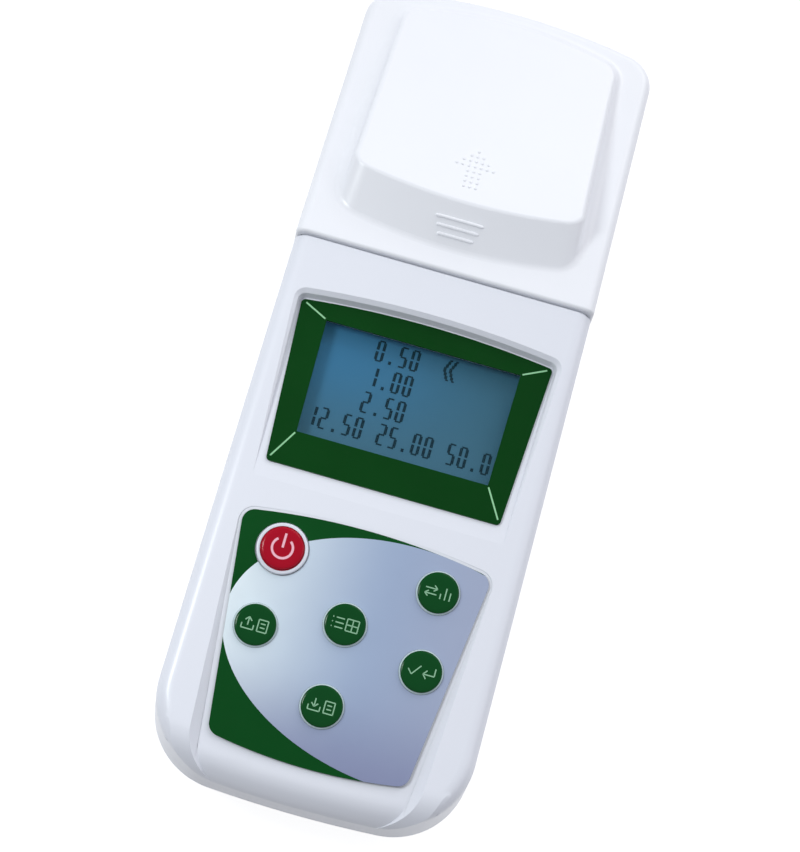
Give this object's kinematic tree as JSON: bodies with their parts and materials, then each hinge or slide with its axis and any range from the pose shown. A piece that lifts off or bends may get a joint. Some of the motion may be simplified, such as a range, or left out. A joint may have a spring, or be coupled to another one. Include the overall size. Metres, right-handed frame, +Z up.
{
  "type": "portable colorimeter",
  "caption": "Hand-held sample colorimeter with a sliding lid over its vial well, a recessed display and a round-key pad on a case that tapers towards the grip.",
  "frame": {"origin": "on the table under the middle of the bounding box, with the instrument lying on its back", "axes": "+Y towards the sample head, +Z up out of the keypad side, +X to the right of the user"},
  "size_m": [0.081, 0.223, 0.064],
  "materials": {
    "case_white": "satin moulded",
    "lid_white": "satin moulded",
    "panel_green": "printed film",
    "clear_window": "clear",
    "keypad_print": "printed metallic film",
    "bezel_white": "gloss",
    "button_red": "gloss",
    "key_green": "gloss",
    "switch_black": "moulded",
    "board_green": "coated board",
    "chip_black": "moulded",
    "steel": "plated",
    "ribbon_grey": "insulation",
    "lcd_glass": "smooth",
    "backlight_white": "diffusing",
    "holder_black": "matt",
    "lamp_clear": "clear",
    "can_metal": "plated",
    "filter_glass": "polished",
    "rubber_black": "matt",
    "collar_grey": "moulded",
    "battery_sleeve": "printed sleeve",
    "contact_nickel": "nickel plated",
    "rubber_grey": "matt"
  },
  "bodies": {
    "case": {"upper_shell": "case_white", "lower_shell": "case_white", "screen_overlay": "panel_green", "screen_window": "clear_window", "keypad_overlay": "keypad_print", "power_bezel": "bezel_white", "key_switches": "switch_black", "keypad_board": "board_green", "main_board": "board_green", "board_parts": "chip_black", "board_screws": "steel", "keypad_ribbon": "ribbon_grey", "lcd_panel": "lcd_glass", "lcd_backlight": "backlight_white", "cell_holder": "holder_black", "light_source": "lamp_clear", "lamp_board": "board_green", "light_detector": "can_metal", "colour_filter": "filter_glass", "detector_board": "board_green", "sensor_lead": "ribbon_grey", "well_gasket": "rubber_black", "well_collar": "collar_grey", "holder_screws": "steel", "batteries": "battery_sleeve", "battery_contacts": "contact_nickel", "case_screws": "steel", "rubber_feet": "rubber_grey"},
    "lid": {"sliding_lid": "lid_white"},
    "door": {"battery_door": "case_white"},
    "power": {"power_button": "button_red"},
    "recall": {"recall_key": "key_green"},
    "menu": {"menu_key": "key_green"},
    "toggle": {"toggle_key": "key_green"},
    "enter": {"enter_key": "key_green"},
    "save": {"save_key": "key_green"}
  },
  "joints": [
    {"name": "lid_slide", "type": "slide", "parent": "case", "child": "lid", "axis": [0, 1, 0], "range_m": [0, 0.05]},
    {"name": "door_slide", "type": "slide", "parent": "case", "child": "door", "axis": [0, -1, 0], "range_m": [0, 0.06]},
    {"name": "power_press", "type": "slide", "parent": "case", "child": "power", "axis": [0, 0.1822, -0.9833], "range_m": [0, 0.0008], "stiffness_N_per_m": 1500},
    {"name": "recall_press", "type": "slide", "parent": "case", "child": "recall", "axis": [0, 0.1822, -0.9833], "range_m": [0, 0.0008], "stiffness_N_per_m": 1500},
    {"name": "menu_press", "type": "slide", "parent": "case", "child": "menu", "axis": [0, 0.1822, -0.9833], "range_m": [0, 0.0008], "stiffness_N_per_m": 1500},
    {"name": "toggle_press", "type": "slide", "parent": "case", "child": "toggle", "axis": [0, 0.1822, -0.9833], "range_m": [0, 0.0008], "stiffness_N_per_m": 1500},
    {"name": "enter_press", "type": "slide", "parent": "case", "child": "enter", "axis": [0, 0.1822, -0.9833], "range_m": [0, 0.0008], "stiffness_N_per_m": 1500},
    {"name": "save_press", "type": "slide", "parent": "case", "child": "save", "axis": [0, 0.1822, -0.9833], "range_m": [0, 0.0008], "stiffness_N_per_m": 1500}
  ]
}
